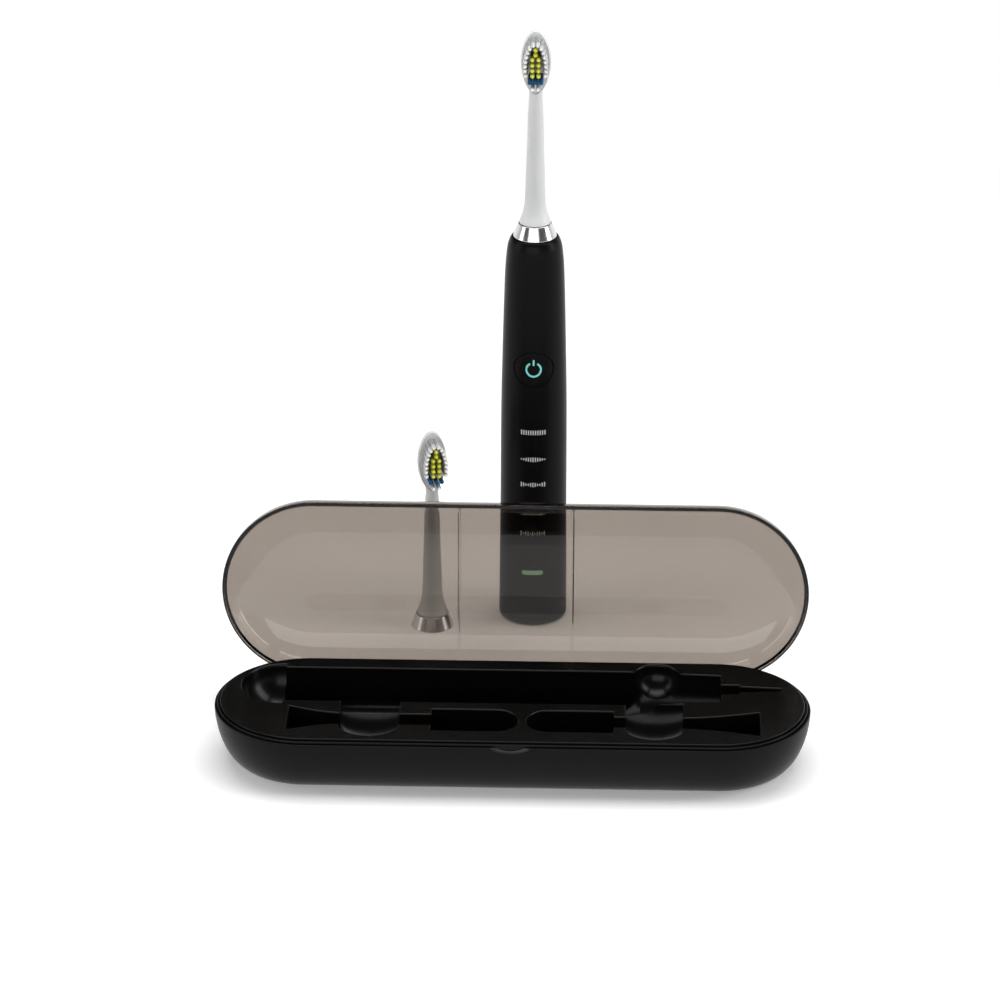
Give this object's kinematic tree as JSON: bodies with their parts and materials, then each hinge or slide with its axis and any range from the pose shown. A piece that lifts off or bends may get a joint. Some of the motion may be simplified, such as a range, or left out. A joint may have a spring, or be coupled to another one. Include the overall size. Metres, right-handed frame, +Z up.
{
  "type": "electric toothbrush",
  "caption": "Sonic electric toothbrush standing on its base, with a pull-off brush head, a spare head beside it and an open hinged travel case with a smoked lid.",
  "frame": {"origin": "centre of the travel case's flat underside", "axes": "+Z up, +X along the case to the right as seen from its thumb notch, +Y to the rear towards the hinge and the standing brush"},
  "size_m": [0.2322, 0.1795, 0.2544],
  "materials": {
    "black_satin": "fine satin moulding, slightly worn on the edges",
    "black_gloss": "semi-gloss moulding with fine rubbing marks",
    "smoked_clear": "clear smoked plastic, polished",
    "steel": "turned",
    "chrome": "bright plated, fine turning marks",
    "white_plastic": "satin white, slightly translucent",
    "white_bristle": "nylon filament",
    "yellow_bristle": "nylon filament",
    "blue_bristle": "nylon filament",
    "teal_light": "lit light guide",
    "green_light": "lit light guide",
    "white_light": "lit light guide",
    "led_clear": "clear resin",
    "rubber": "moulded",
    "copper": "enamelled wire winding",
    "iron": "ground",
    "grey_plastic": "moulded",
    "board_green": "solder resist",
    "cell_wrap": "shrink wrap"
  },
  "bodies": {
    "case": {"case_shell": "black_satin", "case_rim_ring": "black_gloss", "case_tray": "black_gloss", "hinge_pin_left": "steel", "hinge_pin_right": "steel"},
    "lid": {"lid_shell": "smoked_clear"},
    "handle": {"handle_shell": "black_satin", "handle_end_cap": "black_satin", "nose_collar": "black_gloss", "end_cap_seal": "rubber", "charging_coil": "copper", "coil_core": "iron", "chassis": "grey_plastic", "torsion_bar": "steel", "battery_cell": "cell_wrap", "battery_contact_lower": "steel", "battery_contact_upper": "steel", "circuit_board": "board_green", "mode_led_1": "led_clear", "mode_led_2": "led_clear", "mode_led_3": "led_clear", "mode_led_4": "led_clear", "mode_led_5": "led_clear", "charge_led": "led_clear", "tact_switch": "grey_plastic", "nose_seal": "rubber", "rear_end_plate": "grey_plastic", "front_end_plate": "grey_plastic", "rear_bearing": "steel", "front_bearing": "steel", "motor_yoke": "iron", "motor_windings": "copper", "mode_lens_1": "white_light", "mode_lens_2": "white_light", "mode_lens_3": "white_light", "mode_lens_4": "white_light", "mode_lens_5": "white_light", "charge_indicator_lens": "green_light"},
    "button": {"power_button": "black_gloss", "power_icon_ring": "teal_light", "power_icon_bar": "teal_light"},
    "drive": {"drive_shaft": "steel", "armature_core": "iron", "armature_magnets": "steel"},
    "brush_head": {"brush_stem": "white_plastic", "brush_collar_ring": "chrome", "brush_socket_sleeve": "steel", "brush_white_tufts": "white_bristle", "brush_yellow_tufts": "yellow_bristle", "brush_blue_tufts": "blue_bristle"},
    "spare_head": {"spare_stem": "white_plastic", "spare_collar_ring": "chrome", "spare_socket_sleeve": "steel", "spare_white_tufts": "white_bristle", "spare_yellow_tufts": "yellow_bristle", "spare_blue_tufts": "blue_bristle"}
  },
  "joints": [
    {"name": "lid_hinge", "type": "hinge", "parent": "case", "child": "lid", "pos_m": [0, 0.03325, 0.01803], "axis": [1, 0, 0], "range_deg": [0, 96.79]},
    {"name": "handle_lift", "type": "slide", "parent": "case", "child": "handle", "axis": [0, 0, 1], "range_m": [0, 0.15]},
    {"name": "button_press", "type": "slide", "parent": "handle", "child": "button", "axis": [0, 1, 0], "range_m": [0, 0.0005], "stiffness_N_per_m": 3000},
    {"name": "shaft_swing", "type": "hinge", "parent": "handle", "child": "drive", "pos_m": [0.0054, 0.1293, 0.15], "axis": [0, 0, 1], "range_deg": [-5, 5], "stiffness_Nm_per_rad": 0.5},
    {"name": "brush_head_pull", "type": "slide", "parent": "drive", "child": "brush_head", "axis": [0, 0, 1], "range_m": [0, 0.03]},
    {"name": "spare_head_lift", "type": "slide", "parent": "case", "child": "spare_head", "axis": [0, 0, 1], "range_m": [0, 0.12]}
  ]
}
